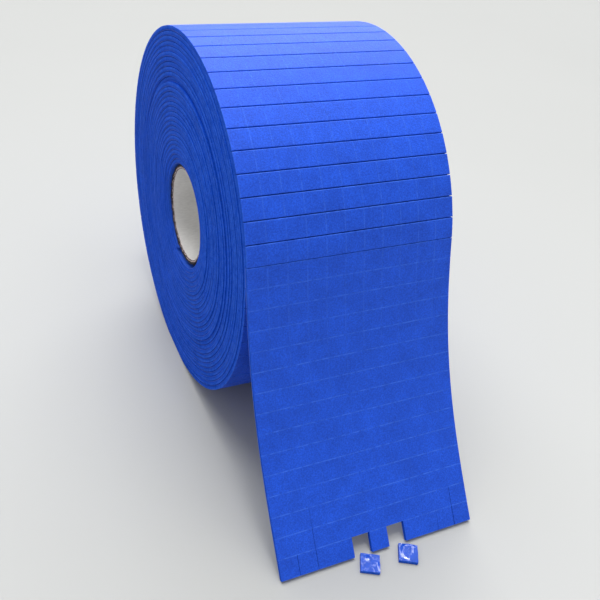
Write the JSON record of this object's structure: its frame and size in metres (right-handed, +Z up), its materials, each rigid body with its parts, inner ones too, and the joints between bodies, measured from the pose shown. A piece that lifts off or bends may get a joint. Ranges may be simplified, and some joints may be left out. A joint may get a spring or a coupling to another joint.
{
  "type": "foam separator pad roll",
  "caption": "Wide roll of blue foam kiss-cut into small square pads with a clear cling layer, on an open paperboard core; the free end reaches the floor and loose pads lie in front.",
  "frame": {"origin": "middle of the flat that the roll's weight presses into its outer turn, on the floor under the core", "axes": "+X along the core, from the left end face to the right; -Y is the front, where the web hangs off the roll; +Z up"},
  "size_m": [0.165, 0.4302, 0.2953],
  "materials": {
    "foam": "matt closed-cell foam",
    "cling": "clear glossy cling layer, the blue foam showing through",
    "core_paperboard": "plain pale paperboard"
  },
  "bodies": {
    "roll": {"core_tube": "core_paperboard", "wound_turns": "foam", "outer_turn_cling": "cling", "outer_turn_foam": "foam"},
    "tail_row_01": {"tail_foam_01": "foam", "tail_cling_01": "cling"},
    "tail_row_02": {"tail_foam_02": "foam", "tail_cling_02": "cling"},
    "tail_row_03": {"tail_foam_03": "foam", "tail_cling_03": "cling"},
    "tail_row_04": {"tail_foam_04": "foam", "tail_cling_04": "cling"},
    "tail_row_05": {"tail_foam_05": "foam", "tail_cling_05": "cling"},
    "tail_row_06": {"tail_foam_06": "foam", "tail_cling_06": "cling"},
    "tail_row_07": {"tail_foam_07": "foam", "tail_cling_07": "cling"},
    "tail_row_08": {"tail_foam_08": "foam", "tail_cling_08": "cling"},
    "tail_row_09": {"tail_foam_09": "foam", "tail_cling_09": "cling"},
    "tail_row_10": {"tail_foam_10": "foam", "tail_cling_10": "cling"},
    "tail_row_11": {"tail_foam_11": "foam", "tail_cling_11": "cling"},
    "tail_row_12": {"tail_foam_12": "foam", "tail_cling_12": "cling"},
    "tail_row_13": {"tail_foam_13": "foam", "tail_cling_13": "cling"},
    "tail_row_14": {"tail_foam_14": "foam", "tail_cling_14": "cling"},
    "last_row_left": {"last_row_pad_01": "foam", "last_row_cling_01": "cling", "last_row_pad_02": "foam", "last_row_cling_02": "cling", "last_row_pad_03": "foam", "last_row_cling_03": "cling", "last_row_pad_04": "foam", "last_row_cling_04": "cling"},
    "last_row_tooth": {"last_row_pad_06": "foam", "last_row_cling_06": "cling"},
    "last_row_right": {"last_row_pad_08": "foam", "last_row_cling_08": "cling", "last_row_pad_09": "foam", "last_row_cling_09": "cling", "last_row_pad_10": "foam", "last_row_cling_10": "cling", "last_row_pad_11": "foam", "last_row_cling_11": "cling"},
    "loose_pad_1": {"loose_pad_foam_1": "foam", "loose_pad_cling_1": "cling"},
    "loose_pad_2": {"loose_pad_foam_2": "foam", "loose_pad_cling_2": "cling"}
  },
  "joints": [
    {"name": "row_bend_01", "type": "hinge", "parent": "roll", "child": "tail_row_01", "pos_m": [0, -0.13838, 0.19416], "axis": [1, 0, 0], "range_deg": [-0.5, 2.81]},
    {"name": "row_bend_02", "type": "hinge", "parent": "tail_row_01", "child": "tail_row_02", "pos_m": [0, -0.14344, 0.17961], "axis": [1, 0, 0], "range_deg": [-0.5, 6.81]},
    {"name": "row_bend_03", "type": "hinge", "parent": "tail_row_02", "child": "tail_row_03", "pos_m": [0, -0.14874, 0.16516], "axis": [1, 0, 0], "range_deg": [-0.5, 7.37]},
    {"name": "row_bend_04", "type": "hinge", "parent": "tail_row_03", "child": "tail_row_04", "pos_m": [0, -0.15442, 0.15084], "axis": [1, 0, 0], "range_deg": [-0.5, 7.76]},
    {"name": "row_bend_05", "type": "hinge", "parent": "tail_row_04", "child": "tail_row_05", "pos_m": [0, -0.16058, 0.13673], "axis": [1, 0, 0], "range_deg": [-0.5, 8.03]},
    {"name": "row_bend_06", "type": "hinge", "parent": "tail_row_05", "child": "tail_row_06", "pos_m": [0, -0.16727, 0.12286], "axis": [1, 0, 0], "range_deg": [-0.5, 8.18]},
    {"name": "row_bend_07", "type": "hinge", "parent": "tail_row_06", "child": "tail_row_07", "pos_m": [0, -0.17453, 0.10927], "axis": [1, 0, 0], "range_deg": [-0.5, 8.24]},
    {"name": "row_bend_08", "type": "hinge", "parent": "tail_row_07", "child": "tail_row_08", "pos_m": [0, -0.18234, 0.096], "axis": [1, 0, 0], "range_deg": [-0.5, 8.2]},
    {"name": "row_bend_09", "type": "hinge", "parent": "tail_row_08", "child": "tail_row_09", "pos_m": [0, -0.19068, 0.08306], "axis": [1, 0, 0], "range_deg": [-0.5, 8.07]},
    {"name": "row_bend_10", "type": "hinge", "parent": "tail_row_09", "child": "tail_row_10", "pos_m": [0, -0.19953, 0.07045], "axis": [1, 0, 0], "range_deg": [-0.5, 7.88]},
    {"name": "row_bend_11", "type": "hinge", "parent": "tail_row_10", "child": "tail_row_11", "pos_m": [0, -0.20881, 0.05816], "axis": [1, 0, 0], "range_deg": [-0.5, 7.62]},
    {"name": "row_bend_12", "type": "hinge", "parent": "tail_row_11", "child": "tail_row_12", "pos_m": [0, -0.21846, 0.04617], "axis": [1, 0, 0], "range_deg": [-0.5, 7.31]},
    {"name": "row_bend_13", "type": "hinge", "parent": "tail_row_12", "child": "tail_row_13", "pos_m": [0, -0.22842, 0.03442], "axis": [1, 0, 0], "range_deg": [-0.5, 6.97]},
    {"name": "row_bend_14", "type": "hinge", "parent": "tail_row_13", "child": "tail_row_14", "pos_m": [0, -0.23861, 0.02287], "axis": [1, 0, 0], "range_deg": [-0.5, 6.61]},
    {"name": "last_row_left_bend", "type": "hinge", "parent": "tail_row_14", "child": "last_row_left", "pos_m": [0, -0.24895, 0.01146], "axis": [1, 0, 0], "range_deg": [-0.5, 15]},
    {"name": "last_row_tooth_bend", "type": "hinge", "parent": "tail_row_14", "child": "last_row_tooth", "pos_m": [0, -0.24895, 0.01146], "axis": [1, 0, 0], "range_deg": [-0.5, 15]},
    {"name": "last_row_right_bend", "type": "hinge", "parent": "tail_row_14", "child": "last_row_right", "pos_m": [0, -0.24895, 0.01146], "axis": [1, 0, 0], "range_deg": [-0.5, 15]},
    {"name": "loose_pad_1_lift", "type": "slide", "parent": "roll", "child": "loose_pad_1", "axis": [0, 0, 1], "range_m": [0, 0.15]},
    {"name": "loose_pad_2_lift", "type": "slide", "parent": "roll", "child": "loose_pad_2", "axis": [0, 0, 1], "range_m": [0, 0.15]}
  ]
}
